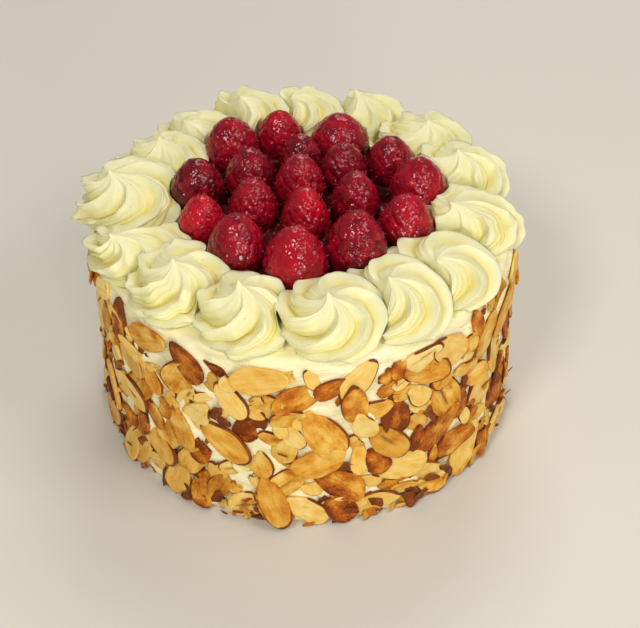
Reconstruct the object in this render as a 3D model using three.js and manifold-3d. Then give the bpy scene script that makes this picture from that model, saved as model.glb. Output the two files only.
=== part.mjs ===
// Raspberry cake: a tall round cake coated in buttercream, its side covered in toasted almond slices,
// its top ringed by fifteen piped rosettes round a bed of glazed raspberries.
// Millimetres, +Z up. The origin is the centre of the flat underside, and -Y is the front.

import * as THREE from "three";
import { ConvexGeometry } from "three/addons/geometries/ConvexGeometry.js";
import { mergeVertices } from "three/addons/utils/BufferGeometryUtils.js";
import Module from "manifold-3d";

// Driving dimensions
const cakeRadius = 76.3; // a 6 inch layer with its coat of cream
const cakeHeight = 79;
const cakeSides = 40;
const edgeRound = 1.6; // soft top edge left by the spatula
const edgeCorner = 0.3; // share of the round cut off at its middle
const pieceGap = 0.3; // clearance between touching pieces
const deck = cakeHeight + pieceGap; // height that the toppings stand on

// Almond slices on the side
const sliceLength = [17.5, 23.5]; // shortest and longest
const sliceSlimness = [0.48, 0.62]; // width as a share of length
const sliceSides = 7;
const sliceSink = 2.2; // depth of each slice's back below the cream
const sliceProud = [1.1, 3.2]; // how far a slice's face stands off the cream
const sliceTaper = 0.24; // one end narrower than the other
const sliceTilt = 0.14; // most that a slice leans out of the wall, in radians
const sliceRows = 6;
const slicesPerRow = 20;
const sliceBand = [9, 74]; // heights of the lowest and highest row
const sliceLimits = [0.4, 78]; // no slice reaches lower or higher
const sliceMargin = 0.9; // room for a slice's tilt inside those limits
const rowJitter = 3.2;
const stepJitter = 0.3; // share of the spacing along a row
const sliceSeed = 4127;

// Piped rosettes
const rosetteLobes = 6;
const ringWays = [0.07, 0.25, 0.45, 0.65, 0.83, 1]; // rings of points from the peak to the foot
const columnsPerLobe = [0, 0.2, 0.62]; // crest, valley beside it, and slope, as shares of a lobe
const valleyAt = 0.2;
const valleyCurve = 1.8; // steepness of the drop from crest to valley
const slopeCurve = 0.7; // and of the rise to the next crest
const slopeMix = 0.7;
const ridgeDepth = 4;
const ridgeStart = 62; // the ridges have their full depth this many degrees down the section
const ridgeFade = { from: 62, over: 45, share: 0.62 }; // and are shallower at the rim
const ridgeTwist = THREE.MathUtils.degToRad(105); // turn of a ridge from peak to foot
const rimTwist = THREE.MathUtils.degToRad(42); // and its further turn, most of it near the rim
const rimTwistCurve = 3.5;
const rimHeight = 3.2; // height of the widest point
const rimLift = 4.5; // how far a rim climbs where it lies on its neighbour
const innerLift = 4; // and where it leans on the berries
const innerBulge = 0.19; // it spreads that way too, by this share of its radius
const footAngle = THREE.MathUtils.degToRad(110); // the section turns past the rim to a tucked foot
const footTuck = 0.06;
const wayCurve = 0.9; // the section turns a little faster near the peak
const tipWidth = 3;
const tipCurve = 1.3;
const leanCurve = 1.6; // the lean grows towards the peak
const squashSoftness = 1.2;
const squashMargin = 1; // the later rosette's rim is kept clear by this
const berryMargin = 2.1; // and a berry by this
const squashFlatten = 0.3;
const squashReach = 2.2;
const squashFade = 4; // the press dies away this far to either side
const crowdReach = 2; // berries nearer than this to a rosette press on it

// One line for each rosette, clockwise from the back: its angle and distance on the cake, its radius,
// dome and tip heights, angle and distance of its leaning peak, first ridge's angle,
// its turn in the piping order, where a later one lies over its neighbour,
// and how far it leans on the berries, 1 being fully
const rosettes = [
  [110.8, 65.0, 17.0, 15.5, 3.0, 113, 65, 10, 2, 1],
  [91.0, 64.0, 16.5, 13.0, 3.5, 95.6, 65.5, 40, 1, 1],
  [67.5, 64.5, 17.0, 12.5, 6.0, 73.5, 68, 25, 0, 1],
  [43.0, 64.0, 17.5, 12.0, 2.5, 44, 67, 0, 1, 1],
  [19.5, 64.5, 17.0, 13.0, 3.0, 23, 62.8, 30, 2, 1],
  [-5.0, 64.0, 17.5, 13.0, 3.5, -10, 53, 50, 3, 1],
  [-34.0, 62.5, 18.5, 13.0, 3.5, -41, 60, 15, 4, 1],
  [-57.5, 62.3, 18.0, 13.0, 3.5, -60.2, 58, 35, 5, 1],
  [-80.7, 62.0, 18.2, 13.0, 5.5, -82.5, 62.5, 11, 6, 1],
  [-108.0, 61.5, 18.5, 13.0, 5.0, -112.5, 58.8, 42, 5, 0.3],
  [-135.5, 62.0, 18.0, 13.0, 3.5, -138, 61.3, 20, 4, 1],
  [-160.0, 63.0, 18.0, 12.5, 3.0, -159.4, 74, 0, 3, 1],
  [173.0, 65.3, 19.5, 12.8, 3.0, 170, 74, 27, 5, 1],
  [152.0, 64.0, 16.5, 13.0, 3.0, 148, 64.8, 12, 4, 1],
  [130.3, 64.0, 16.2, 12.0, 3.5, 135, 66.5, 44, 3, 1],
].map(([angle, ring, radius, dome, tip, peakAngle, peakRing, phase, turn, resting]) => ({
  radius, dome, tip, turn,
  centre: polar(ring, angle),
  inward: THREE.MathUtils.degToRad(angle + 180),
  lift: innerLift * resting,
  bulge: innerBulge * resting,
  margin: squashMargin,
  flatten: squashFlatten,
  peak: polar(peakRing, peakAngle),
  phase: THREE.MathUtils.degToRad(phase),
}));

// Raspberries
const berryTaper = 0.2; // wider below than above
const berryCore = 0.38; // height of the widest part, as a share of the whole
const berryBase = 1.7; // the round under that is cut flat where the berry stands
const berryBumpDepth = 1;
const berryBumps = 46;

// One line for each raspberry: x, y, width, height
const berries = [
  [-27.8, 36.0, 21.5, 21.5],
  [-8.4, 42.0, 17.6, 19.5],
  [12.2, 40.0, 22.2, 19.0],
  [31.0, 25.8, 18.3, 19.5],
  [-39.5, 10.5, 20.2, 21.0],
  [-20.3, 17.3, 19.2, 20.5],
  [-0.9, 29.6, 17.0, 19.0],
  [-1.6, 12.6, 19.2, 22.5],
  [15.8, 22.0, 18.5, 20.5],
  [42.4, 9.0, 21.8, 22.0],
  [-37.0, -8.8, 17.2, 18.5],
  [-18.7, -1.1, 18.5, 20.5],
  [0.3, -7.8, 18.0, 21.5],
  [19.0, 1.2, 18.6, 21.0],
  [37.2, -11.9, 19.6, 20.5],
  [-22.8, -26.6, 21.2, 23.0],
  [-4.0, -33.9, 22.8, 23.5],
  [18.5, -26.4, 22.6, 24.0],
];
const berrySeed = 911;
const settleRounds = 60;

const sameCorner = 1e-4; // corners nearer than this are one
const flatLevel = 0.01; // a face below this height is the flat foot

function polar(radius, degrees) {
  const angle = THREE.MathUtils.degToRad(degrees);
  return new THREE.Vector2(radius * Math.cos(angle), radius * Math.sin(angle));
}

// A linear congruential generator: the same draw on every run
function makeRandom(seed) {
  const factor = 16807;
  const modulus = 2147483647;
  let state = seed;
  return (low, high) => {
    state = (state * factor) % modulus;
    return low + ((high - low) * state) / modulus;
  };
}

function smooth(x) {
  const t = THREE.MathUtils.clamp(x, 0, 1);
  return t * t * (3 - 2 * t);
}

const wasm = await Module();
wasm.setup();

function facesOf(geometry) {
  const index = Array.from(geometry.index.array);
  return Array.from({ length: index.length / 3 }, (_, i) => index.slice(3 * i, 3 * i + 3));
}

// Merges shared corners, drops faces without area and turns the faces outwards
function closedGeometry(source) {
  const plain = source.clone();
  plain.deleteAttribute("normal");
  plain.deleteAttribute("uv");
  const merged = mergeVertices(plain, sameCorner);
  const faces = facesOf(merged).filter(([a, b, c]) => a !== b && b !== c && c !== a);
  const corner = (i) => new THREE.Vector3().fromBufferAttribute(merged.attributes.position, i);
  const volume = faces.reduce((sum, [a, b, c]) => sum + corner(a).dot(corner(b).cross(corner(c))), 0);
  const outward = volume < 0 ? faces.map(([a, b, c]) => [a, c, b]) : faces;
  merged.setIndex(outward.flat());
  return merged;
}

function toSolid(source) {
  const geometry = closedGeometry(source);
  return new wasm.Manifold(new wasm.Mesh({
    numProp: 3,
    vertProperties: new Float32Array(geometry.attributes.position.array),
    triVerts: new Uint32Array(geometry.index.array),
  }));
}

function toGeometry(solid) {
  const mesh = solid.getMesh();
  const geometry = new THREE.BufferGeometry();
  geometry.setAttribute("position", new THREE.BufferAttribute(new Float32Array(mesh.vertProperties), 3));
  geometry.setIndex(Array.from(mesh.triVerts));
  return geometry;
}

function makeMesh(name, geometry, material) {
  const mesh = new THREE.Mesh(geometry, material.clone());
  mesh.name = name;
  return mesh;
}

// The round cake under the slices
function cakeCore() {
  const bend = new THREE.Path();
  bend.moveTo(0, 0);
  bend.lineTo(cakeRadius, 0);
  bend.lineTo(cakeRadius, cakeHeight - edgeRound);
  bend.lineTo(cakeRadius - edgeRound * edgeCorner, cakeHeight - edgeRound * edgeCorner);
  bend.lineTo(cakeRadius - edgeRound, cakeHeight);
  bend.lineTo(0, cakeHeight);
  return new THREE.LatheGeometry(bend.getPoints(1), cakeSides).rotateX(Math.PI / 2);
}

// A flat almond slice: a few-sided oval, narrower at one end, with its face along +Z
function almondSlice(length, width) {
  const outline = [];
  for (let i = 0; i < sliceSides; i += 1) {
    const angle = ((i + 0.5) / sliceSides) * 2 * Math.PI;
    const x = (length / 2) * Math.cos(angle);
    const y = (width / 2) * Math.sin(angle) * (1 - sliceTaper * Math.cos(angle));
    outline.push(new THREE.Vector2(x, y));
  }
  return new THREE.ExtrudeGeometry(new THREE.Shape(outline), { depth: 1, bevelEnabled: false });
}

// Staggered rows of slices, each with its own size, turn, tilt and stand
function placedSlices() {
  const random = makeRandom(sliceSeed);
  const slices = [];
  for (let row = 0; row < sliceRows; row += 1) {
    const rowHeight = THREE.MathUtils.lerp(...sliceBand, row / (sliceRows - 1));
    for (let step = 0; step < slicesPerRow; step += 1) {
      const share = (step + 0.5 * (row % 2) + random(-stepJitter, stepJitter)) / slicesPerRow;
      const length = random(...sliceLength);
      const width = length * random(...sliceSlimness);
      const turn = random(0, Math.PI);
      const proud = random(...sliceProud);
      const tilt = [random(-sliceTilt, sliceTilt), random(-sliceTilt, sliceTilt)];
      const aim = rowHeight + random(-rowJitter, rowJitter);
      const reach = Math.hypot((length / 2) * Math.sin(turn), (width / 2) * Math.cos(turn)) + sliceMargin;
      const height = THREE.MathUtils.clamp(aim, sliceLimits[0] + reach, sliceLimits[1] - reach);
      slices.push({ angle: share * 2 * Math.PI, height, length, width, turn, proud, tilt });
    }
  }
  return slices;
}

function sliceOnWall({ angle, height, length, width, turn, proud, tilt }) {
  const geometry = almondSlice(length, width);
  geometry.scale(1, 1, sliceSink + proud).translate(0, 0, -sliceSink);
  geometry.rotateZ(turn).rotateX(tilt[0]).rotateY(tilt[1]);
  const outward = new THREE.Vector3(Math.cos(angle), Math.sin(angle), 0);
  const around = new THREE.Vector3(-Math.sin(angle), Math.cos(angle), 0);
  const frame = new THREE.Matrix4().makeBasis(around, new THREE.Vector3(0, 0, 1), outward);
  frame.setPosition(outward.x * cakeRadius, outward.y * cakeRadius, height);
  return geometry.applyMatrix4(frame);
}

// The core with its slices fused on: the largest closed piece is kept, so no sealed hollow or scrap stays
function cakeBody() {
  let solid = toSolid(cakeCore());
  for (const slice of placedSlices()) {
    solid = solid.add(toSolid(sliceOnWall(slice)));
  }
  const pieces = solid.decompose().sort((a, b) => b.volume() - a.volume());
  return toGeometry(pieces[0]);
}

// Depth of a ridge's section: 0 on the crest, 1 in the valley just past it, then a slow rise
function ridgeSection(share) {
  const u = share - Math.floor(share);
  const drop = 1 - Math.max(0, 1 - u / valleyAt) ** valleyCurve;
  const s = Math.max(0, (u - valleyAt) / (1 - valleyAt));
  return drop - slopeMix * s ** slopeCurve - (1 - slopeMix) * smooth(s);
}

// 1 where a rosette faces the middle of the cake, and 0 on its far side
function inwardShare(rosette, angle) {
  return ((1 + Math.cos(angle - rosette.inward)) / 2) ** 2;
}

// Later neighbours and berries press a rosette back, along the line between the two.
// A neighbour flattens its edge too.
function pressBack(point, other, towards) {
  const axis = towards.clone().sub(other.centre).normalize();
  const offset = new THREE.Vector2(point.x - other.centre.x, point.y - other.centre.y);
  const clear = other.radius * (1 + other.bulge * inwardShare(other, offset.angle())) + other.margin;
  const along = offset.dot(axis);
  const across = offset.cross(axis);
  const wall = Math.sqrt(Math.max(clear * clear - across * across, 0));
  const over = along - wall;
  const pressed = (over + Math.hypot(over, 2 * squashSoftness)) / 2;
  const share = smooth((clear + squashFade - Math.abs(across)) / squashFade);
  point.x += axis.x * (pressed - over) * share;
  point.y += axis.y * (pressed - over) * share;
  point.z *= 1 - other.flatten * share * Math.exp(-Math.max(pressed, 0) / squashReach);
}

// A point on a rosette: share counts lobes round it, and way runs from 0 at the peak to 1 at the foot
function rosettePoint(rosette, pressing, raised, share, way) {
  const twist = ridgeTwist * way + rimTwist * way ** rimTwistCurve;
  const around = rosette.phase - (2 * Math.PI * share) / rosetteLobes - twist;
  const turn = footAngle * way ** wayCurve;
  const upper = Math.min(turn, Math.PI / 2);
  const under = Math.max(0, (turn - Math.PI / 2) / (footAngle - Math.PI / 2));
  const inner = inwardShare(rosette, around);
  const rim = rimHeight + rosette.lift * inner + raised.reduce((sum, { angle, amount }) => (
    sum + rimLift * amount * Math.max(0, Math.cos(around - angle)) ** 2
  ), 0);
  const degrees = THREE.MathUtils.radToDeg(turn);
  const fade = 1 - ridgeFade.share * smooth((degrees - ridgeFade.from) / ridgeFade.over);
  const cut = ridgeDepth * smooth(degrees / ridgeStart) * fade * ridgeSection(share);
  const spread = rosette.radius * (1 + rosette.bulge * inner) * (1 - footTuck * under * under);
  const reach = (spread - cut) * Math.sin(upper);
  const dome = under > 0 ? rim * (1 - under) : rim + (rosette.dome - rim) * Math.cos(upper);
  const height = dome - cut * Math.cos(upper) + rosette.tip * Math.exp(-((reach / tipWidth) ** tipCurve));
  const lean = Math.max(0, height / (rosette.dome + rosette.tip)) ** leanCurve;
  const point = new THREE.Vector3(
    THREE.MathUtils.lerp(rosette.centre.x, rosette.peak.x, lean) + reach * Math.cos(around),
    THREE.MathUtils.lerp(rosette.centre.y, rosette.peak.y, lean) + reach * Math.sin(around),
    Math.max(height, 0),
  );
  for (const other of pressing) {
    pressBack(point, other, rosette.centre);
  }
  point.z += deck;
  return point;
}

function rosetteGeometry(rosette, settled) {
  const place = rosettes.indexOf(rosette);
  const neighbours = [1, rosettes.length - 1].map((step) => rosettes[(place + step) % rosettes.length]);
  const raised = neighbours.filter((other) => other.turn < rosette.turn).map((other) => {
    const gap = other.centre.clone().sub(rosette.centre);
    const amount = Math.min(1, Math.max(0, (rosette.radius + other.radius - gap.length()) / rosette.radius));
    return { angle: gap.angle(), amount };
  });
  const pressing = neighbours.filter((other) => other.turn > rosette.turn).concat(settled.filter((berry) => (
    berry.centre.distanceTo(rosette.centre) < berry.radius + rosette.radius + crowdReach
  )));
  const columns = rosetteLobes * columnsPerLobe.length;
  const peak = new THREE.Vector3(rosette.peak.x, rosette.peak.y, deck + rosette.dome + rosette.tip);
  const foot = new THREE.Vector3(rosette.centre.x, rosette.centre.y, deck);
  const ends = [new THREE.Vector2(0, 0), new THREE.Vector2(0, ringWays.length + 1)];
  const profile = [ends[0], ...ringWays.map((_, i) => new THREE.Vector2(1, i + 1)), ends[1]];
  const lathe = new THREE.LatheGeometry(profile, columns);
  for (let column = 0; column <= columns; column += 1) {
    const step = column % columns;
    const lobe = Math.floor(step / columnsPerLobe.length) + columnsPerLobe[step % columnsPerLobe.length];
    const rings = ringWays.map((way) => rosettePoint(rosette, pressing, raised, lobe, way));
    [peak, ...rings, foot].forEach((point, row) => {
      lathe.attributes.position.setXYZ(column * profile.length + row, ...point);
    });
  }
  return closedGeometry(lathe);
}

// Nudges the berries apart until no two of them touch
function settleBerries() {
  const placed = berries.map(([x, y, width, height]) => ({
    centre: new THREE.Vector2(x, y),
    radius: width / 2,
    margin: berryMargin,
    height,
    inward: 0,
    bulge: 0,
    flatten: 0,
  }));
  for (let round = 0; round < settleRounds; round += 1) {
    placed.forEach((one, i) => placed.slice(i + 1).forEach((two) => {
      const apart = two.centre.clone().sub(one.centre);
      const overlap = one.radius + two.radius + pieceGap - apart.length();
      if (overlap <= 0) return;
      apart.setLength(overlap / 2);
      one.centre.sub(apart);
      two.centre.add(apart);
    }));
  }
  return placed;
}

// A raspberry, tip up: a hull over evenly spread bumps, each face sunk at its middle
function berryGeometry({ centre, radius, height }, spin) {
  const belly = height * berryCore;
  const points = [];
  for (let i = 0; i < berryBumps; i += 1) {
    const level = 1 - (2 * i + 1) / berryBumps;
    const angle = i * Math.PI * (3 - Math.sqrt(5)) + spin;
    const reach = radius * Math.sqrt(1 - level * level) * (1 - berryTaper * Math.max(level, 0));
    const rise = belly + level * (level > 0 ? height - belly : belly * berryBase);
    points.push(new THREE.Vector3(reach * Math.cos(angle), reach * Math.sin(angle), Math.max(rise, 0)));
  }
  const middle = new THREE.Vector3(0, 0, belly);
  const hull = closedGeometry(new ConvexGeometry(points));
  const corner = (i) => new THREE.Vector3().fromBufferAttribute(hull.attributes.position, i);
  const vertices = facesOf(hull).flatMap((face) => {
    const [a, b, c] = face.map(corner);
    const dip = a.clone().add(b).add(c).divideScalar(3);
    const depth = Math.max(a.z, b.z, c.z) < flatLevel ? 0 : berryBumpDepth;
    dip.add(middle.clone().sub(dip).setLength(depth));
    return [a, b, dip, b, c, dip, c, a, dip];
  });
  const faces = new THREE.BufferGeometry().setFromPoints(vertices);
  faces.setIndex(vertices.map((_, i) => i));
  return closedGeometry(faces).translate(centre.x, centre.y, deck);
}

const almondCoat = new THREE.MeshStandardMaterial({ color: 0xd9a050, roughness: 0.55, metalness: 0 });
const buttercream = new THREE.MeshStandardMaterial({ color: 0xf0ebb0, roughness: 0.5, metalness: 0 });
const raspberry = new THREE.MeshStandardMaterial({ color: 0x9b2033, roughness: 0.25, metalness: 0 });

const cake = new THREE.Group();
cake.add(makeMesh("cake_body", cakeBody(), almondCoat));
const settled = settleBerries();
rosettes.forEach((rosette, i) => {
  const name = `rosette_${String(i + 1).padStart(2, "0")}`;
  cake.add(makeMesh(name, rosetteGeometry(rosette, settled), buttercream));
});
const berryRandom = makeRandom(berrySeed);
settled.forEach((berry, i) => {
  const name = `raspberry_${String(i + 1).padStart(2, "0")}`;
  cake.add(makeMesh(name, berryGeometry(berry, berryRandom(0, 2 * Math.PI)), raspberry));
});

export default cake;
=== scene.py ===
# Raspberry cake: spread and piped buttercream, toasted almond slices and glazed raspberries.
# Forms are worked out in millimetres and turned to metres where each mesh is made.
import math
from functools import partial

import bmesh
import bpy
import numpy as np
from mathutils import Matrix, Vector


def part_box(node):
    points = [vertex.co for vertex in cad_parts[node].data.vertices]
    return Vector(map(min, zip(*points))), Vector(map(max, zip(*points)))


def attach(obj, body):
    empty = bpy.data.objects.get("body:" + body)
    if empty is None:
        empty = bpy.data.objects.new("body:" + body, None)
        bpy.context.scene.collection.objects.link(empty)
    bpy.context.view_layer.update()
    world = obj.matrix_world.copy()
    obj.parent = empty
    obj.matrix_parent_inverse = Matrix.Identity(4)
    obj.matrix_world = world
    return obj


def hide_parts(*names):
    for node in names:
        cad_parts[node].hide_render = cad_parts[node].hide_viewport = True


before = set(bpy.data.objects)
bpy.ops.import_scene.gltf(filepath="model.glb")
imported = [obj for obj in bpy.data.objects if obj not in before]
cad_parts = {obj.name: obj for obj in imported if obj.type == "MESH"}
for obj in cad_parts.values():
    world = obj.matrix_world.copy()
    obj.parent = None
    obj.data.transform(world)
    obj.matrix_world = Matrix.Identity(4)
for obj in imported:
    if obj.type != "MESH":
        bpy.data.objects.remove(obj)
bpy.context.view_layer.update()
print("Loaded", len(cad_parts), "solids")


def toLinear(colour):
    # sRGB hex to the linear values that a shader takes
    parts = [int(colour[i:i + 2], 16) / 255 for i in (1, 3, 5)]
    return tuple(c / 12.92 if c <= 0.04045 else ((c + 0.055) / 1.055) ** 2.4 for c in parts) + (1.0,)


def linkInputs(node, links):
    # A link starts at a socket, or at the first output of a node
    for key, start in links.items():
        socket = start.outputs[0] if isinstance(start, bpy.types.Node) else start
        node.id_data.links.new(socket, node.inputs[key])


def addNode(tree, kind, settings=None, links=None):
    # A setting names an input, a property of the node or the stops of its colour ramp
    node = tree.nodes.new("ShaderNode" + kind)
    for key, value in (settings or {}).items():
        if key == "stops":
            stops = node.color_ramp.elements
            while len(stops) < len(value):
                stops.new(0.5)
            for stop, (place, colour) in zip(stops, value):
                stop.position = place
                stop.color = toLinear(colour)
        elif isinstance(key, int) or key in node.inputs:
            node.inputs[key].default_value = value
        else:
            setattr(node, key, value)
    linkInputs(node, links or {})
    return node


def newMaterial(name, sockets):
    # Comes with its shader, and with addNode for its own tree
    material = bpy.data.materials.new(name)
    material.use_nodes = True
    shader = material.node_tree.nodes["Principled BSDF"]
    for key, value in sockets.items():
        shader.inputs[key].default_value = value
    return material, shader, partial(addNode, material.node_tree)


metre = 1000  # in millimetres
fullTurn = 2 * math.pi

# Places of the colour sockets on a Mix node
mixShare, mixFrom, mixTo, mixOut = 0, 6, 7, 2


def perMetre(millimetres):
    # The texture scale that gives a pattern of this size
    return metre / millimetres


def smooth(x):
    t = np.clip(x, 0, 1)
    return t * t * (3 - 2 * t)


def evenTurns(count):
    return np.arange(count) / count * 2 * math.pi


def spiralTurns(count):
    # Points this far round from each other lie evenly on a ball
    return np.arange(count) * math.pi * (3 - math.sqrt(5))


def bell(x):
    return np.exp(-x ** 2)


def jitter(rng, most, count=None):
    return rng.uniform(-most, most, count)


def anyPhase(rng):
    # Anywhere in a whole turn
    return rng.uniform(0, 6.3)


def anySeed(rng):
    return int(rng.randint(1000))


def roundPoints(reach, angle, height):
    return np.stack([reach * np.cos(angle), reach * np.sin(angle), height + 0 * reach], -1)


# A smooth uneven field is a sum of slanted waves, each a little longer or shorter than asked;
# the sum is brought to about -1 to 1
waves = {"count": 7, "lengths": (0.6, 1.4), "levelling": 2.6}


def ripple(points, wavelength, seed):
    rng = np.random.RandomState(seed)
    ways = rng.normal(size=(waves["count"], 3))
    sizes = np.linalg.norm(ways, axis=1, keepdims=True)
    ways *= (fullTurn / wavelength) * rng.uniform(*waves["lengths"], (waves["count"], 1)) / sizes
    return np.sin(points @ ways.T + rng.uniform(0, fullTurn, waves["count"])).sum(-1) / waves["levelling"]


def uneven(points, depth, wavelength, seed):
    return depth * ripple(points, wavelength, seed)


def makeDraw(seed):
    # The same draw as in the solids, so that each slice falls in its place
    multiplier, modulus = 16807, 2147483647
    state = [seed]

    def draw(low, high):
        state[0] = state[0] * multiplier % modulus
        return low + (high - low) * state[0] / modulus

    return draw


def ringForm(rings, top, bottom):
    # A closed form from rings of points and a point at each end
    rows, columns = rings.shape[:2]
    vertices = np.vstack([rings.reshape(-1, 3), top, bottom])
    near = np.arange(rows * columns).reshape(rows, columns)
    right = np.roll(near, -1, axis=1)
    quads = np.stack([near[:-1], near[1:], right[1:], right[:-1]], -1).reshape(-1, 4)
    ends = rows * columns
    topFan = np.stack([np.full(columns, ends), near[0], right[0]], -1)
    bottomFan = np.stack([np.full(columns, ends + 1), right[-1], near[-1]], -1)
    return vertices, quads, np.vstack([topFan, bottomFan])


def addObject(name, data):
    thing = bpy.data.objects.new(name, data)
    bpy.context.scene.collection.objects.link(thing)
    return thing


def makePiece(name, forms, values, material, replaced=()):
    # Joins forms to one mesh that rides on the cake; values are rows of numbers, one for each vertex
    faces = []
    start = 0
    for vertices, quads, triangles in forms:
        faces += (quads + start).tolist() + (triangles + start).tolist()
        start += len(vertices)
    mesh = bpy.data.meshes.new(name)
    mesh.from_pydata((np.vstack([form[0] for form in forms]) / metre).tolist(), [], faces)
    mesh.polygons.foreach_set("use_smooth", [True] * len(faces))
    for key, rows in values.items():
        numbers = np.concatenate(rows).astype(np.float32)
        mesh.attributes.new(key, "FLOAT", "POINT").data.foreach_set("value", numbers)
    mesh.materials.append(material)
    piece = addObject(name, mesh)
    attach(piece, "root")
    if replaced:
        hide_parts(*replaced)


# Camera as photographed: a long lens that looks down by 40 degrees
camera = {
    "lens": 95.6,
    "sensorWidth": 36,
    "clipEnd": 20,
    "elevation": 40.4,
    "distance": 0.66,
    "aim": (0.0056, 0, 0.0346),
    "roll": -0.35,
}


def placeCamera():
    data = bpy.data.cameras.new("camera")
    data.lens = camera["lens"]
    data.sensor_width = camera["sensorWidth"]
    data.clip_end = camera["clipEnd"]
    eye = addObject("camera", data)
    rise = math.radians(camera["elevation"])
    aim = Vector(camera["aim"])
    place = aim + camera["distance"] * Vector((0, -math.cos(rise), math.sin(rise)))
    roll = Matrix.Rotation(math.radians(camera["roll"]), 4, "Z")
    turn = Matrix.Rotation(math.radians(90) - rise, 4, "X") @ roll
    eye.matrix_world = Matrix.Translation(place) @ turn
    bpy.context.scene.camera = eye


placeCamera()


# The coated cake under its toppings
coat = {
    "radius": 76.3,
    "height": 79.0,
    "edge": 1.6,
    "columns": 440,
    "wallRows": 104,
    "edgeRows": 6,
    "topRows": 20,
    "topStart": 1.5,
    "strokeDepth": 0.3,   # low strokes left by the spatula
    "strokeHeight": 7.0,
    "strokeLength": 34.0,
    "strokeClimb": 90.0,  # a stroke climbs by its own height over this length
    "strokeSeed": 5,
    "fine": (0.5, 0.45, 6),  # finer strokes: shares of that depth and size, and a seed
    "footBlend": 2.0,     # no relief at the very foot
    "squeeze": 1.1,       # cream rises round a slice this far out, as a share of its size
    "squeezeBlend": 0.25,
    "bedding": 1.25,      # and stays this far below its face, as a share of its thickness
    "mostRise": 2.2,
    "top": (0.12, 11, 8),    # the top is spread smoother than the wall
    "topBlend": 3,
}

# Almond slices, as drawn in the solids
slices = {
    "length": (17.5, 23.5),
    "slimness": (0.48, 0.62),
    "proud": (1.1, 3.2),
    "taper": 0.24,
    "tilt": 0.14,
    "rows": 6,
    "perRow": 20,
    "band": (9, 74),
    "limits": (0.4, 78),
    "margin": 0.9,        # kept free above and below each slice, in millimetres
    "rowJitter": 3.2,
    "stepJitter": 0.3,
    "seed": 4127,
    "thickness": (1.0, 1.6),
    "thicknessSeed": 3,
    "columns": 32,
    "formSeed": 500,
}

# Smaller slices between those, some of them on top
fillers = {
    "count": 240,
    "length": (8, 16),
    "slimness": (0.45, 0.7),
    "proud": (0.8, 2.8),
    "tilt": 0.22,
    "band": (3, 75),
    "limits": (0.4, 78),
    "margin": 0.4,
    "room": 0.42,         # room that a slice takes for itself, as a share of its length
    "thickness": (0.8, 1.3),
    "columns": 20,
    "tries": 40,
    "seed": 77,
    "formSeed": 900,
}

# Slices that slid down and lean at the foot; the first is the one at the front
leaners = {
    "first": {"angle": math.radians(-98.5), "height": 11.4, "length": 23, "width": 10.5,
              "turn": 1.93, "proud": 4.2, "tilt": (-0.27, 0.05)},
    "count": 16,
    "spot": (0.2, 0.8),   # where each lies in its share of the way round
    "length": (15, 21),
    "slimness": (0.48, 0.6),
    "proud": (2.2, 3.8),
    "lean": (0.1, 0.3),
    "sway": 0.1,
    "rise": 0.6,
    "seed": 12,
}


def riseOf(length, width, turn):
    # How far a turned slice reaches up and down from its middle
    return math.hypot(length / 2 * math.sin(turn), width / 2 * math.cos(turn))


def drawSlices():
    draw = makeDraw(slices["seed"])
    drawn = []
    for row in range(slices["rows"]):
        low, high = slices["band"]
        rowHeight = low + (high - low) * row / (slices["rows"] - 1)
        for step in range(slices["perRow"]):
            place = step + 0.5 * (row % 2) + draw(-slices["stepJitter"], slices["stepJitter"])
            length = draw(*slices["length"])
            width = length * draw(*slices["slimness"])
            turn = draw(0, math.pi)
            proud = draw(*slices["proud"])
            tilt = (draw(-slices["tilt"], slices["tilt"]), draw(-slices["tilt"], slices["tilt"]))
            aim = rowHeight + draw(-slices["rowJitter"], slices["rowJitter"])
            reach = riseOf(length, width, turn) + slices["margin"]
            height = min(max(aim, slices["limits"][0] + reach), slices["limits"][1] - reach)
            drawn.append({"angle": place / slices["perRow"] * fullTurn, "height": height, "length": length,
                          "width": width, "turn": turn, "proud": proud, "tilt": tilt})
    return drawn


def drawFillers(drawn):
    # Each takes the emptiest of a few places
    rng = np.random.RandomState(fillers["seed"])
    wallLength = fullTurn * coat["radius"]
    places = [
        (one["angle"] * coat["radius"] % wallLength, one["height"], one["length"] * fillers["room"])
        for one in drawn
    ]
    added = []
    for _ in range(fillers["count"]):
        length = rng.uniform(*fillers["length"])
        width = length * rng.uniform(*fillers["slimness"])
        turn = rng.uniform(0, math.pi)
        reach = riseOf(length, width, turn) + fillers["margin"]
        low = max(fillers["band"][0], fillers["limits"][0] + reach)
        high = min(fillers["band"][1], fillers["limits"][1] - reach)
        count = fillers["tries"]
        tries = np.stack([rng.uniform(0, wallLength, count), rng.uniform(low, high, count)], -1)
        known = np.array(places)
        across = np.abs(tries[:, None, 0] - known[None, :, 0])
        across = np.minimum(across, wallLength - across)
        gap = np.hypot(across, tries[:, None, 1] - known[None, :, 1]) - known[None, :, 2]
        best = tries[gap.min(1).argmax()]
        places.append((best[0], best[1], length * fillers["room"]))
        added.append({"angle": best[0] / coat["radius"], "height": best[1], "length": length, "width": width,
                      "turn": turn, "proud": rng.uniform(*fillers["proud"]),
                      "tilt": tuple(jitter(rng, fillers["tilt"], 2))})
    return added


def drawLeaners():
    rng = np.random.RandomState(leaners["seed"])
    added = [leaners["first"]]
    for step in range(leaners["count"]):
        length = rng.uniform(*leaners["length"])
        width = length * rng.uniform(*leaners["slimness"])
        turn = rng.uniform(0, math.pi)
        added.append({"angle": (step + rng.uniform(*leaners["spot"])) / leaners["count"] * fullTurn,
                      "height": riseOf(length, width, turn) + leaners["rise"],
                      "length": length, "width": width, "turn": turn,
                      "proud": rng.uniform(*leaners["proud"]),
                      "tilt": (-rng.uniform(*leaners["lean"]), jitter(rng, leaners["sway"]))})
    return added


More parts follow.
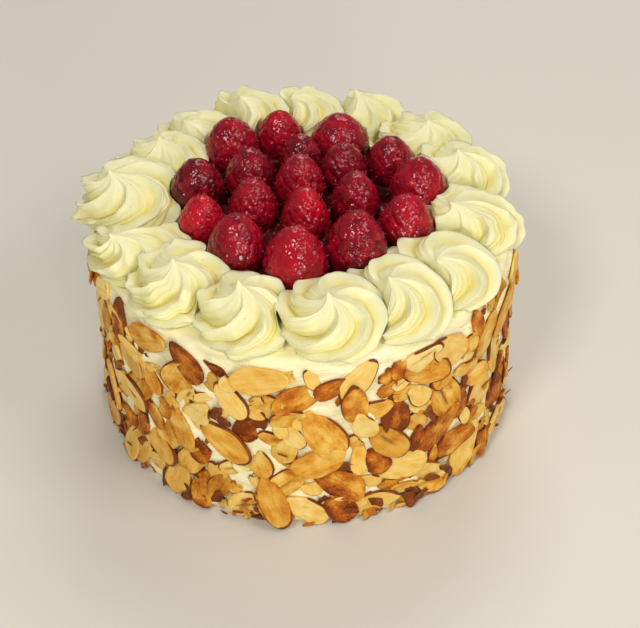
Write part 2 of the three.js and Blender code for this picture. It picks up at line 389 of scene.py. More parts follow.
def wallTurn(angle):
    # Turns a form that faces up so that it faces out of the wall
    cosW, sinW = math.cos(angle), math.sin(angle)
    return np.array([[-sinW, 0, cosW], [cosW, 0, sinW], [0, 1, 0]])


def wallPlace(angle, reach, height):
    return np.array([math.cos(angle) * reach, math.sin(angle) * reach, height])


def sliceFrame(one):
    # Turn and tilt of a slice on the wall, and its place
    cosTurn, sinTurn = math.cos(one["turn"]), math.sin(one["turn"])
    turn = np.array([[cosTurn, -sinTurn, 0], [sinTurn, cosTurn, 0], [0, 0, 1]])
    cosA, sinA = math.cos(one["tilt"][0]), math.sin(one["tilt"][0])
    cosB, sinB = math.cos(one["tilt"][1]), math.sin(one["tilt"][1])
    sideways = np.array([[cosB, 0, sinB], [0, 1, 0], [-sinB, 0, cosB]])
    forwards = np.array([[1, 0, 0], [0, cosA, -sinA], [0, sinA, cosA]])
    place = wallPlace(one["angle"], coat["radius"], one["height"])
    return wallTurn(one["angle"]) @ (sideways @ forwards) @ turn, place


def wallRelief(arc, height, pressed):
    # How far the coat stands out at places on the unrolled wall
    level = height / coat["strokeHeight"] + arc / coat["strokeClimb"]
    points = np.stack([arc / coat["strokeLength"], level, 0 * arc], -1)
    relief = coat["strokeDepth"] * (ripple(points, 1.0, coat["strokeSeed"]) + uneven(points, *coat["fine"]))
    wallLength = fullTurn * coat["radius"]
    blend = coat["squeezeBlend"]
    for one in pressed:
        dx = (arc - one["angle"] * coat["radius"] + wallLength / 2) % wallLength - wallLength / 2
        dy = height - one["height"]
        near = (np.abs(dx) < one["length"]) & (np.abs(dy) < one["length"])
        dx, dy = dx[near], dy[near]
        along = dx * math.cos(one["turn"]) + dy * math.sin(one["turn"])
        across = -dx * math.sin(one["turn"]) + dy * math.cos(one["turn"])
        out = np.hypot(along / (one["length"] / 2), across / (one["width"] / 2))
        level = one["proud"] - one["thickness"] * coat["bedding"] - dx * one["tilt"][1] + dy * one["tilt"][0]
        lift = np.clip(level - dx * dx / (2 * coat["radius"]), 0, coat["mostRise"])
        lift = lift * smooth((coat["squeeze"] + blend - out) / (2 * blend))
        relief[near] = np.maximum(relief[near], lift)
    return relief


def coatForm(pressed):
    angles = evenTurns(coat["columns"])
    heights = np.linspace(coat["height"] - coat["edge"], 0, coat["wallRows"])
    angle, height = np.meshgrid(angles, heights)
    relief = wallRelief(angle * coat["radius"], height, pressed)
    out = coat["radius"] + relief * smooth(height / coat["footBlend"])
    wall = roundPoints(out, angle, height)
    bend = np.linspace(0, math.pi / 2, coat["edgeRows"])[1:]
    reaches = coat["radius"] - coat["edge"] * (1 - np.cos(bend))
    rims = coat["height"] - coat["edge"] * (1 - np.sin(bend))
    inward = np.linspace(reaches[-1], coat["topStart"], coat["topRows"])[1:]
    reaches = np.concatenate([reaches, inward])[::-1]
    rims = np.concatenate([rims, np.full(len(inward), coat["height"])])[::-1]
    angle, reach = np.meshgrid(angles, reaches)
    top = roundPoints(reach, angle, rims[:, None])
    inside = smooth((coat["radius"] - coat["topBlend"] - reach) / coat["topBlend"])
    top[..., 2] += uneven(top, *coat["top"]) * inside
    return ringForm(np.concatenate([top, wall]), [0, 0, coat["height"]], [0, 0, 0])


# Form of a slice: rings, ends and marks in shares of its size, depths in millimetres
sliceForm = {
    # rings from the middle of its face over the edge to the underside, and how deep each lies
    "rings": (0.13, 0.3, 0.48, 0.65, 0.78, 0.87, 0.95, 1.0, 1.01, 0.985, 0.6),
    "levels": (0, 0, 0, 0, 0, 0.01, 0.06, 0.22, 0.6, 0.97, 1.0),
    "faceRings": 8,
    "outline": ((3, 0.025), (5, 0.02)),   # number and depth of the waves round it
    "snap": (0.02, 0.25),                 # where a broken one ends
    "snapWave": (7, 0.25),                # number and depth again
    "snapTeeth": 0.4,
    "wave": (0.14, 7.5),                  # depth and size of its unevenness
    "curl": 2,
    "markEdge": 1.3,                      # a brown streak on the face of some
    "markWidth": 0.07,
    "markLength": 0.27,
    "markReach": 0.85,
    "markDepth": 0.4,
    "skinWave": 0.75,                     # the skin is left on part of the edge
    "skinTear": 0.35,
    "skinRings": ((0.78, 0.87, 0.95, 1.0), (0, 0.3, 0.62, 1)),
    "skinUnder": (1, 1, 0.5),
    "brownFrom": 0.6,                     # the rim browns first, more on one side
    "brownSide": 0.6,
    "brown": 0.25,
    "patch": (0.3, 9),                    # amount and size of its uneven toast
    "speck": (0.05, 5),
    "lowest": 0.1,                        # toppings end this far above the cake's underside
}

# What the almond material reads at each vertex; along and across are millimetres on the slice
almondKeys = ("toast", "skin", "mark", "tone", "along", "across")


def almondForm(one, style, columns, seed):
    # A thin slab cut from a whole almond, with its brown skin left on the edge
    rng = np.random.RandomState(seed)
    length, width, thickness = one["length"], one["width"], one["thickness"]
    around = evenTurns(columns)
    x = length / 2 * np.cos(around)
    y = width / 2 * np.sin(around) * (1 - slices["taper"] * np.cos(around))
    wobble = 1
    for count, depth in sliceForm["outline"]:
        wobble = wobble + depth * np.sin(count * around + anyPhase(rng))
    if style["broken"]:
        snap = length * rng.uniform(*sliceForm["snap"])
        count, depth = sliceForm["snapWave"]
        snap = snap + depth * np.sin(count * around + anyPhase(rng))
        x = np.minimum(x, snap + sliceForm["snapTeeth"] * rng.normal(size=columns))
    ring, turn = np.meshgrid(sliceForm["rings"], around, indexing="ij")
    depths = np.array(sliceForm["levels"])[:, None] * thickness
    px = ring * (x * wobble)[None, :]
    py = ring * (y * wobble)[None, :]
    faceShare = (np.arange(len(ring)) < sliceForm["faceRings"])[:, None]
    local = np.stack([px, py, 0 * px], -1)
    wave = uneven(local, *sliceForm["wave"], seed + 1)
    wave = wave + style["cup"] * (1 - ring * ring) + style["curl"] * (px / length) ** 2 * sliceForm["curl"]
    aside = np.abs(py - style["markOff"] * width) / (sliceForm["markWidth"] * width)
    ahead = (px - style["markAt"] * length) / (sliceForm["markLength"] * length)
    mark = smooth(sliceForm["markEdge"] - aside - ahead ** 2)
    mark = mark * style["mark"] * faceShare * (ring < sliceForm["markReach"])
    pz = one["proud"] - depths + wave - sliceForm["markDepth"] * mark
    presence = style["skin"] + sliceForm["skinWave"] * np.sin(turn + style["skinAt"])
    presence = smooth(presence + sliceForm["skinTear"] * np.sin(3 * turn + 2 * style["skinAt"]))
    edge = np.interp(ring, *sliceForm["skinRings"])
    edge[sliceForm["faceRings"]:] = np.array(sliceForm["skinUnder"])[:, None]
    browned = smooth((ring - sliceForm["brownFrom"]) / (1 - sliceForm["brownFrom"]))
    browned = browned * (sliceForm["brownSide"] + sliceForm["brownSide"] * np.sin(turn + style["toastAt"]))
    patch = uneven(local, *sliceForm["patch"], seed + 3)
    speck = uneven(local, *sliceForm["speck"], seed + 2)
    toast = style["toast"] * (1 + patch + sliceForm["brown"] * browned) + speck
    matrix, place = sliceFrame(one)
    top = np.array([0, 0, one["proud"] + wave[0].mean() - sliceForm["markDepth"] * mark[0].mean()])
    bottom = np.array([0, 0, one["proud"] - thickness + wave[0].mean()])
    vertices, quads, triangles = ringForm(np.stack([px, py, pz], -1), top, bottom)
    vertices = vertices @ matrix.T + place
    vertices[:, 2] += max(0, sliceForm["lowest"] - vertices[:, 2].min())
    grids = {"toast": toast, "skin": presence * edge, "mark": mark, "along": px, "across": py}
    values = {
        key: np.concatenate([grid.ravel(), [grid[0].mean(), grid[-1].mean()]]) for key, grid in grids.items()
    }
    values["tone"] = np.full(len(vertices), style["tone"])
    return (vertices, quads, triangles), values


# Most slices are pale or golden; some are toasted brown, and a few nearly dark
sliceLooks = {
    "toast": (0.12, 0.33, 0.56, 0.78),
    "toastOdds": (0.43, 0.3, 0.18, 0.09),
    "toastSpread": 0.08,
    "toneCurve": 1.3,
    "skin": (-0.4, 0.25, 0.7),
    "skinOdds": (0.25, 0.4, 0.35),
    "markOdds": 0.2,
    "mark": (0.5, 1),
    "markAt": (-0.12, 0.12),
    "markOff": (-0.1, 0.1),
    "cup": (-0.3, 0.15),
    "curl": (-0.5, 0.6),
    "brokenOdds": 0.4,
}


def sliceStyle(rng, small):
    toast = rng.choice(sliceLooks["toast"], p=sliceLooks["toastOdds"]) + jitter(rng, sliceLooks["toastSpread"])
    return {
        "toast": toast,
        "tone": rng.uniform() ** sliceLooks["toneCurve"],
        "toastAt": anyPhase(rng),
        "skin": rng.choice(sliceLooks["skin"], p=sliceLooks["skinOdds"]),
        "skinAt": anyPhase(rng),
        "mark": float(rng.uniform() < sliceLooks["markOdds"]) * rng.uniform(*sliceLooks["mark"]),
        **{key: rng.uniform(*sliceLooks[key]) for key in ("markAt", "markOff", "cup", "curl")},
        "broken": small and rng.uniform() < sliceLooks["brokenOdds"],
    }


def makeSliceSet(name, drawn, kind, small, material):
    rng = np.random.RandomState(kind["formSeed"])
    made = [
        almondForm(one, sliceStyle(rng, small), kind["columns"], kind["formSeed"] + 10 * i)
        for i, one in enumerate(drawn)
    ]
    values = {key: [numbers[key] for form, numbers in made] for key in almondKeys}
    makePiece(name, [form for form, numbers in made], values, material)


# Spread buttercream: whipped butter and sugar, ivory and matt with a faint waxy sheen, long low strokes
def spreadButtercream():
    material, shader, add = newMaterial("buttercreamSpread", {
        "Roughness": 0.52, "IOR": 1.45, "Subsurface Weight": 0.2, "Subsurface Scale": 0.004,
        "Subsurface Radius": (1.0, 0.75, 0.4),
    })
    place = add("TexCoord").outputs["Object"]
    patches = add("TexNoise", {"Scale": perMetre(14), "Detail": 2}, {"Vector": place})
    tint = add("ValToRGB", {"stops": [(0.3, "#faf0ba"), (0.7, "#fff7d2")]}, {"Fac": patches})
    flat = add("Mapping", {"Scale": (1, 1, 3.5)}, {"Vector": place})
    strokes = add("TexNoise", {"Scale": perMetre(11), "Detail": 2.5, "Roughness": 0.5}, {"Vector": flat})
    bump = add("Bump", {"Strength": 0.8, "Distance": 0.002}, {"Height": strokes})
    linkInputs(shader, {"Base Color": tint, "Normal": bump})
    return material


# Toasted almond: sliced thin and baked, pale to orange brown with a papery brown skin; baked faces are grainy
def toastedAlmond():
    material, shader, add = newMaterial("almondToasted", {
        "IOR": 1.46, "Specular IOR Level": 0.2,
        "Subsurface Weight": 0.14, "Subsurface Scale": 0.002, "Subsurface Radius": (1.0, 0.6, 0.25),
    })
    place = add("TexCoord").outputs["Object"]
    toast, skin, mark, tone, along, across = (
        add("Attribute", {"attribute_name": key}).outputs["Fac"] for key in almondKeys
    )
    # Grain and blotches lie about zero, and are stronger where the face is toasted
    grain = add("TexNoise", {"Scale": perMetre(1.1), "Detail": 2, "Roughness": 0.6}, {"Vector": place})
    blotch = add("TexNoise", {"Scale": perMetre(4.5), "Detail": 2}, {"Vector": place})
    grainShare = add("Math", {"operation": "MULTIPLY_ADD", 1: 0.7, 2: -0.35}, {0: grain})
    grainByToast = add("Math", {"operation": "MULTIPLY"}, {0: grainShare, 1: toast})
    blotchSize = add("Math", {"operation": "MULTIPLY_ADD", 1: 0.9, 2: 0.12}, {0: toast})
    blotchCentred = add("Math", {"operation": "SUBTRACT", 1: 0.5}, {0: blotch})
    blotchShare = add("Math", {"operation": "MULTIPLY"}, {0: blotchCentred, 1: blotchSize})
    level = add("Math", {"operation": "ADD"}, {0: toast, 1: grainByToast})
    level = add("Math", {"operation": "ADD"}, {0: level, 1: blotchShare})
    # Fibres along the slice, stretched six times, and different on each one
    stretched = add("Math", {"operation": "MULTIPLY", 1: 1 / 6}, {0: along})
    apart = add("Math", {"operation": "MULTIPLY", 1: 90}, {0: tone})
    fibrePlace = add("CombineXYZ", None, {0: stretched, 1: across, 2: apart})
    fibres = add("TexNoise", {"Scale": 1 / 1.3, "Detail": 3, "Roughness": 0.6}, {"Vector": fibrePlace})
    fibreShare = add("Math", {"operation": "MULTIPLY_ADD", 1: 0.5, 2: -0.25}, {0: fibres})
    level = add("Math", {"operation": "ADD", "use_clamp": True}, {0: level, 1: fibreShare})
    colour = add("ValToRGB", {"stops": [
        (0.0, "#f2d68a"), (0.22, "#eac060"), (0.42, "#da9e34"),
        (0.6, "#c07216"), (0.8, "#a9530e"), (1.0, "#7c3a0a"),
    ]}, {"Fac": level})
    tint = add("ValToRGB", {"stops": [(0.3, "#ffffff"), (0.7, "#fdf0d2"), (1.0, "#d8c090")]}, {"Fac": tone})
    toned = add("Mix", {"data_type": "RGBA", "blend_type": "MULTIPLY", mixShare: 1.0},
                {mixFrom: colour, mixTo: tint})
    # Lighter dots on the toasted faces: painted highlight specks for the glints of baked sugar grains
    grains = add("TexVoronoi", {"Scale": perMetre(1.0)}, {"Vector": place})
    dots = add("MapRange", {"From Min": 0.1, "From Max": 0.45, "To Min": 0.5, "To Max": 0.0}, {"Value": grains})
    glintByToast = add("ValToRGB", {"stops": [
        (0.34, "#000000"), (0.5, "#ffffff"), (0.72, "#a0a0a0"), (0.95, "#202020"),
    ]}, {"Fac": level})
    glintShare = add("Math", {"operation": "MULTIPLY"}, {0: dots, 1: glintByToast})
    glintDotted = add("Mix", {"data_type": "RGBA", mixTo: toLinear("#e8a848")},
                 {mixShare: glintShare, mixFrom: toned.outputs[mixOut]})
    marked = add("Mix", {"data_type": "RGBA", mixTo: toLinear("#8a4a20")},
                 {mixShare: mark, mixFrom: glintDotted.outputs[mixOut]})
    skinTone = add("ValToRGB", {"stops": [(0.35, "#64300e"), (0.7, "#924a1a")]}, {"Fac": blotch})
    skinShare = add("MapRange", {"From Min": 0.36, "From Max": 0.5, "To Min": 0.0, "To Max": 1.0},
                    {"Value": skin})
    skinned = add("Mix", {"data_type": "RGBA"},
                  {mixShare: skinShare, mixFrom: marked.outputs[mixOut], mixTo: skinTone})
    rough = add("MapRange", {"From Min": 0.1, "From Max": 0.8, "To Min": 0.36, "To Max": 0.58},
                {"Value": level})
    raised = add("Math", {"operation": "ADD"}, {0: grain, 1: dots})
    height = add("Math", {"operation": "MULTIPLY_ADD"}, {0: raised, 1: level, 2: fibreShare})
    bump = add("Bump", {"Strength": 0.9, "Distance": 0.0007}, {"Height": height})
    linkInputs(shader, {"Base Color": skinned.outputs[mixOut], "Roughness": rough, "Normal": bump})
    return material


coatMaterial = spreadButtercream()
almondMaterial = toastedAlmond()
largeSlices = drawSlices()
smallSlices = drawFillers(largeSlices) + drawLeaners()
thicknessRandom = np.random.RandomState(slices["thicknessSeed"])
for kind, drawn in ((slices, largeSlices), (fillers, smallSlices)):
    for one in drawn:
        one["thickness"] = thicknessRandom.uniform(*kind["thickness"])
makePiece("creamCoat", [coatForm(largeSlices + smallSlices)], {}, coatMaterial, ("cake_body",))
print("Cream coat spread")
makeSliceSet("almondSlices", largeSlices, slices, False, almondMaterial)
makeSliceSet("almondSlicesSmall", smallSlices, fillers, True, almondMaterial)
print("Almond slices placed:", len(largeSlices) + len(smallSlices))

# Broken flakes and loose skins, most of them along the foot
chips = {
    "count": 440,
    "sides": 11,
    "size": (3.0, 10.0),
    "sizeCurve": 1.6,     # more of them are small
    "slimness": (0.3, 0.7),
    "thickness": (0.25, 0.6),
    "wave": 0.16,
    "teeth": 0.13,
    # rings from one face round the edge to the other, and the height of each
    "rings": ((0.35, 0.5), (0.75, 0.5), (1.0, 0.1), (0.92, -0.45), (0.5, -0.5)),
    "bend": (0.35, 0.6),
    "ripple": (0.1, 3.0),
    "skinShare": 0.45,
    "skin": 0.95,
    "toast": (0.25, 0.85),
    "footShare": 0.5,
    "footBand": (0.6, 15),
    "footCurve": 1.6,
    "band": (6, 76),
    "heaps": (-157, -124, -97, -60, -20, 35, 100, 165),  # where more of them lie, in degrees
    "heapWidth": 7,
    "heapShare": 0.5,
    "leftFrom": -0.85,    # cosine of the angle where the left starts
    "onEdge": 0.55,       # share that stands on edge on the left, where the slices were scraped
    "steep": (0.8, 0.45, 0.2),  # how far one leans: on edge, at the foot and elsewhere
    "proud": (0.5, 1.9),
    "proudFoot": (0.5, 3.4),
    "seed": 41,
}


def chipForm(rng):
    # A thin torn flake, bent along and across
    low, high = chips["size"]
    size = low + (high - low) * rng.uniform() ** chips["sizeCurve"]
    around = evenTurns(chips["sides"])
    wave = chips["wave"] * np.sin(2 * around + anyPhase(rng))
    reach = size / 2 * (1 + wave + chips["teeth"] * rng.normal(size=chips["sides"]))
    x, y = reach * np.cos(around), reach * np.sin(around) * rng.uniform(*chips["slimness"])
    thickness = rng.uniform(*chips["thickness"])
    rings = np.array([
        np.stack([x * share, y * share, 0 * x + z * thickness], -1) for share, z in chips["rings"]
    ])
    bendAlong, bendAcross = (jitter(rng, most) / size for most in chips["bend"])
    rings[..., 2] += bendAlong * rings[..., 0] ** 2 + bendAcross * rings[..., 1] ** 2
    rings[..., 2] += uneven(rings, *chips["ripple"], anySeed(rng))
    return ringForm(rings, rings[0].mean(0), rings[-1].mean(0))


def makeChips(material):
    rng = np.random.RandomState(chips["seed"])
    forms, values = [], {key: [] for key in almondKeys}
    for _ in range(chips["count"]):
        atFoot = rng.uniform() < chips["footShare"]
        vertices, quads, triangles = chipForm(rng)
        angle = rng.uniform(0, fullTurn)
        if atFoot and rng.uniform() < chips["heapShare"]:
            angle = math.radians(rng.choice(chips["heaps"]) + chips["heapWidth"] * rng.normal())
        isLeft = math.cos(angle) < chips["leftFrom"]
        onEdge = rng.uniform() < chips["onEdge"] and isLeft
        steep = chips["steep"][0 if onEdge else 1 if atFoot else 2]
        lean = Matrix.Rotation(jitter(rng, steep), 3, "X") @ Matrix.Rotation(jitter(rng, steep), 3, "Y")
        turned = vertices @ np.array(lean @ Matrix.Rotation(anyPhase(rng), 3, "Z")).T
        low, high = chips["footBand"] if atFoot else chips["band"]
        height = low + (high - low) * rng.uniform() ** (chips["footCurve"] if atFoot else 1.0)
        height = max(height, sliceForm["lowest"] - turned[:, 1].min())
        stand = coat["radius"] + rng.uniform(*chips["proudFoot" if atFoot or isLeft else "proud"])
        forms.append((turned @ wallTurn(angle).T + wallPlace(angle, stand, height), quads, triangles))
        skin = chips["skin"] * (rng.uniform() < chips["skinShare"])
        evenly = (rng.uniform(*chips["toast"]), skin, 0.0, rng.uniform(0, 1))  # in the order of almondKeys
        for key, number in zip(almondKeys, evenly):
            values[key].append(np.full(len(vertices), number))
        values["along"].append(vertices[:, 0])
        values["across"].append(vertices[:, 1])
    makePiece("almondChips", forms, values, material)


makeChips(almondMaterial)
print("Almond chips placed:", chips["count"])

# Piped rosettes: the same form as the solids, with finer ridges
piping = {
    "deck": 79.3,
    "lobes": 6,
    "ridgeDepth": 4.0,
    "ridgeStart": 62,
    "fadeFrom": 62,
    "fadeOver": 45,
    "fadeShare": 0.62,
    "valleyAt": 0.2,
    "valleyCurve": 1.8,
    "slopeCurve": 0.7,
    "slopeMix": 0.7,
    "twist": 105,
    "rimTwist": 42,
    "rimTwistCurve": 3.5,
    "rimHeight": 3.2,
    "rimLift": 4.5,
    "innerLift": 4.0,
    "innerBulge": 0.19,
    "footAngle": 110,
    "footTuck": 0.06,
    "wayCurve": 0.9,
    "tipWidth": 3.0,
    "tipCurve": 1.3,
    "tipDraw": 0.55,      # the peak is drawn out thin as the nozzle lifts
    "tipReach": 4,
    "leanCurve": 1.6,
    "softness": 0.6,
    "margin": -0.15,      # rosettes touch, and the cream of one runs into the next
    "berryMargin": 0.4,
    "flatten": 0.3,
    "reach": 2.2,
    "fade": 4.0,
    "crowd": 2.0,
    "lipHeight": 1.0,     # thin raised edge along each ridge
    "lipWidth": 0.028,
    "creaseDepth": 0.9,   # narrow groove at the bottom of each valley
    "creaseWidth": 0.05,
    "gather": 0.6,        # columns lie closer together near the crests
    "ridgeSpread": (0.85, 1.12),
    "crestWidth": 0.1,
    "folds": 3.0,         # smaller ridges on each slope
    "foldDepth": 1.0,     # deeper on the rosettes that are more dented
    "foldBase": 0.6,
    "foldSpread": (0.3, 1.4),
    "foldShift": 0.25,
    "foldDrift": 0.5,
    "foldFade": 0.2,
    "ragged": 0.16,       # torn a little along the crests and at the foot
    "raggedFoot": (70, 15),
    "raggedSize": 5.5,
    # how far each one is dented by hand, in millimetres
    "dents": (0.5, 0.45, 0.4, 0.5, 0.45, 0.4, 0.22, 0.18, 0.22, 0.35, 0.6, 0.55, 0.35, 0.5, 0.5),
    "dentSize": 7.5,
    "dentFade": 3,        # none at the peak
    "dentShares": (1, 1, 0.8),
    "warp": (0.05, 0.14),
    "warpFine": 0.04,
    "paintedShade": (0.95, 0.3, 0.5, 0.4),  # painted shade: yellower in valleys, creases and folds; painted highlight: paler on crests
    "columns": 180,
    "rows": 56,
    "cap": 0.4,           # the last point stands this far above the ring round the peak
    "sink": 0.5,          # the foot reaches into the cream
    "seeds": (100, 200, 300),
    # the leftmost one ends in a drawn-out tail, with a hollow beside it: its row, then the angle,
    # half width, length, middle and reach of each down the section
    "pullRow": 12,
    "pulls": ((-155, 8, 6.0, 86, 16), (-181, 14, -4.2, 78, 34)),
}

# Angle and distance on the cake, radius, dome and tip heights, angle and distance of the peak,
# first ridge's angle, turn in the piping order, and how far it leans on the berries
rosetteKeys = ("angle", "ring", "radius", "dome", "tip", "peakAngle", "peakRing", "phase", "order", "resting")
rosettes = [dict(zip(rosetteKeys, numbers)) for numbers in (
    (110.8, 65.0, 17.0, 15.5, 3.0, 113, 65, 10, 2, 1),
    (91.0, 64.0, 16.5, 13.0, 3.5, 95.6, 65.5, 40, 1, 1),
    (67.5, 64.5, 17.0, 12.5, 6.0, 73.5, 68, 25, 0, 1),
    (43.0, 64.0, 17.5, 12.0, 2.5, 44, 67, 0, 1, 1),
    (19.5, 64.5, 17.0, 13.0, 3.0, 23, 62.8, 30, 2, 1),
    (-5.0, 64.0, 17.5, 13.0, 3.5, -10, 53, 50, 3, 1),
    (-34.0, 62.5, 18.5, 13.0, 3.5, -41, 60, 15, 4, 1),
    (-57.5, 62.3, 18.0, 13.0, 3.5, -60.2, 58, 35, 5, 1),
    (-80.7, 62.0, 18.2, 13.0, 5.5, -82.5, 62.5, 11, 6, 1),
    (-108.0, 61.5, 18.5, 13.0, 5.0, -112.5, 58.8, 42, 5, 0.3),
    (-135.5, 62.0, 18.0, 13.0, 3.5, -138, 61.3, 20, 4, 1),
    (-160.0, 63.0, 18.0, 12.5, 3.0, -159.4, 74, 0, 3, 1),
    (173.0, 65.3, 19.5, 12.8, 3.0, 170, 74, 27, 5, 1),
    (152.0, 64.0, 16.5, 13.0, 3.0, 148, 64.8, 12, 4, 1),
    (130.3, 64.0, 16.2, 12.0, 3.5, 135, 66.5, 44, 3, 1),
)]


def polar(distance, degrees):
    turn = math.radians(degrees)
    return np.array([distance * math.cos(turn), distance * math.sin(turn)])


def ridgeSection(share):
    u = share % 1.0
    drop = 1 - np.maximum(0, 1 - u / piping["valleyAt"]) ** piping["valleyCurve"]
    s = np.maximum(0, (u - piping["valleyAt"]) / (1 - piping["valleyAt"]))
    return drop - piping["slopeMix"] * s ** piping["slopeCurve"] - (1 - piping["slopeMix"]) * smooth(s)


def inwardShare(row, around):
    # 1 where a rosette faces the middle of the cake, and 0 on its far side
    return ((1 - np.cos(around - math.radians(rosettes[row]["angle"]))) / 2) ** 2


def pressBack(points, centre, spot, size, row=None):
    # A neighbour or a berry at this spot pushes the cream back, and the rim of a rosette down
    axis = (centre - spot) / np.linalg.norm(centre - spot)
    offset = points[..., :2] - spot
    isBerry = row is None
    bulge = 0 if isBerry else piping["innerBulge"] * rosettes[row]["resting"]
    spread = 0 if isBerry else bulge * inwardShare(row, np.arctan2(offset[..., 1], offset[..., 0]))
    clear = size * (1 + spread) + piping["berryMargin" if isBerry else "margin"]
    along = offset @ axis
    across = offset[..., 0] * axis[1] - offset[..., 1] * axis[0]
    over = along - np.sqrt(np.maximum(clear * clear - across * across, 0))
    pressed = (over + np.hypot(over, 2 * piping["softness"])) / 2
    share = smooth((clear + piping["fade"] - np.abs(across)) / piping["fade"])
    points[..., :2] += axis * ((pressed - over) * share)[..., None]
    if not isBerry:
        points[..., 2] *= 1 - piping["flatten"] * share * np.exp(-np.maximum(pressed, 0) / piping["reach"])


def rosetteRings(row, berryPlaces):
    angle, ring, radius, dome, tip, peakAngle, peakRing, phase, order, resting = rosettes[row].values()
    seed, dentSeed, raggedSeed = piping["seeds"]
    rng = np.random.RandomState(seed + row)
    centre, peak = polar(ring, angle), polar(peakRing, peakAngle)
    lobes, valleyAt = piping["lobes"], piping["valleyAt"]
    share = np.arange(piping["columns"]) / piping["columns"] * lobes
    way = np.linspace(0, 1, piping["rows"] + 1)[1:]
    share, way = np.meshgrid(share - piping["gather"] * np.sin(fullTurn * share) / fullTurn, way)
    start = math.radians(phase) - fullTurn * share / lobes
    warp = rng.uniform(*piping["warp"]) * np.sin(start + anyPhase(rng))
    warp = warp + piping["warpFine"] * np.sin(2 * start + anyPhase(rng))
    twist = piping["twist"] * way + piping["rimTwist"] * way ** piping["rimTwistCurve"]
    around = start + warp - np.radians(twist)
    degrees = piping["footAngle"] * way ** piping["wayCurve"]
    upper = np.radians(np.minimum(degrees, 90))
    under = np.maximum(0, (degrees - 90) / (piping["footAngle"] - 90))
    inner = resting * inwardShare(row, around)
    rim = piping["rimHeight"] + piping["innerLift"] * inner
    pressing = []
    for step in (1, -1):
        place = (row + step) % len(rosettes)
        other = rosettes[place]
        gap = polar(other["ring"], other["angle"]) - centre
        if other["order"] > order:
            pressing.append((centre + gap, other["radius"], place))
        elif other["order"] < order:
            amount = np.clip((radius + other["radius"] - np.linalg.norm(gap)) / radius, 0, 1)
            rim += piping["rimLift"] * amount * np.maximum(0, np.cos(around - math.atan2(gap[1], gap[0]))) ** 2
    pressing += [
        (spot, size) for spot, size in berryPlaces
        if np.linalg.norm(spot - centre) < size + radius + piping["crowd"]
    ]
    ridge = smooth(degrees / piping["ridgeStart"])
    ridge = ridge * (1 - piping["fadeShare"] * smooth((degrees - piping["fadeFrom"]) / piping["fadeOver"]))
    section = ridgeSection(share)
    fromCrest = (share + 0.5) % 1.0 - 0.5
    nearCrest = bell(fromCrest / piping["crestWidth"])
    lobe = np.floor(share).astype(int)
    depth = piping["ridgeDepth"] * rng.uniform(*piping["ridgeSpread"], lobes)[lobe]
    folded = piping["foldDepth"] * (piping["foldBase"] + piping["dents"][row])
    folded = folded * rng.uniform(*piping["foldSpread"], lobes)[lobe]
    slope = np.maximum(0, (share % 1.0 - valleyAt) / (1 - valleyAt))
    shift = jitter(rng, piping["foldShift"], lobes)[lobe]
    fold = folded * ridgeSection(slope * piping["folds"] + shift + piping["foldDrift"] * way)
    fold = fold * smooth(slope / piping["foldFade"]) * smooth((1 - slope) / piping["foldFade"])
    lip = piping["lipHeight"] * bell(fromCrest / piping["lipWidth"])
    along = roundPoints(radius * way, around, radius * way)
    footFrom, footOver = piping["raggedFoot"]
    ragged = piping["ragged"] * (nearCrest + smooth((degrees - footFrom) / footOver))
    ragged = ragged * ripple(along, piping["raggedSize"], raggedSeed + row)
    crease = piping["creaseDepth"] * bell((share % 1.0 - valleyAt) / piping["creaseWidth"])
    cut = ridge * (depth * section + crease + fold - lip + ragged)
    spread = radius * (1 + piping["innerBulge"] * inner) * (1 - piping["footTuck"] * under * under)
    reach = (spread - cut) * np.sin(upper)
    height = np.where(under > 0, rim * (1 - under), rim + (dome - rim) * np.cos(upper)) - cut * np.cos(upper)
    height = height + tip * np.exp(-np.abs(reach / piping["tipWidth"]) ** piping["tipCurve"])
    lean = np.maximum(0, height / (dome + tip)) ** piping["leanCurve"]
    reach = reach * (1 - piping["tipDraw"] * bell(reach / piping["tipReach"]))
    for pullAngle, width, length, middle, extent in piping["pulls"] if row == piping["pullRow"] else ():
        turned = np.abs((np.degrees(around) - pullAngle + 180) % 360 - 180) / width
        level = smooth(1 - np.abs(degrees - middle) / extent)
        reach = reach + length * level * (np.exp(-turned) if length > 0 else bell(turned))
    points = np.stack([
        centre[0] + (peak[0] - centre[0]) * lean + reach * np.cos(around),
        centre[1] + (peak[1] - centre[1]) * lean + reach * np.sin(around),
        np.maximum(height, 0),
    ], -1)
    for spot in pressing:
        pressBack(points, centre, *spot)
    dents = [ripple(points, piping["dentSize"], dentSeed + 3 * row + axis) for axis in range(3)]
    dented = piping["dents"][row] * smooth(way * piping["dentFade"])[..., None]
    points += dented * np.stack(dents, -1) * np.array(piping["dentShares"])
    points[..., 2] = np.maximum(points[..., 2], 0)
    points[..., 2] += piping["deck"]
    points[-1, :, 2] = piping["deck"] - piping["sink"]
    # Painted shade and highlight: the tint is yellower in valleys, creases and folds and paler on the crests
    valleys, creases, folds, crests = piping["paintedShade"]
    hollow = valleys * section + creases * crease / piping["creaseDepth"] + folds * fold / piping["foldDepth"]
    hollow = np.clip(hollow - crests * nearCrest, 0, 1) * ridge
    return points[:, ::-1], hollow[:, ::-1], centre
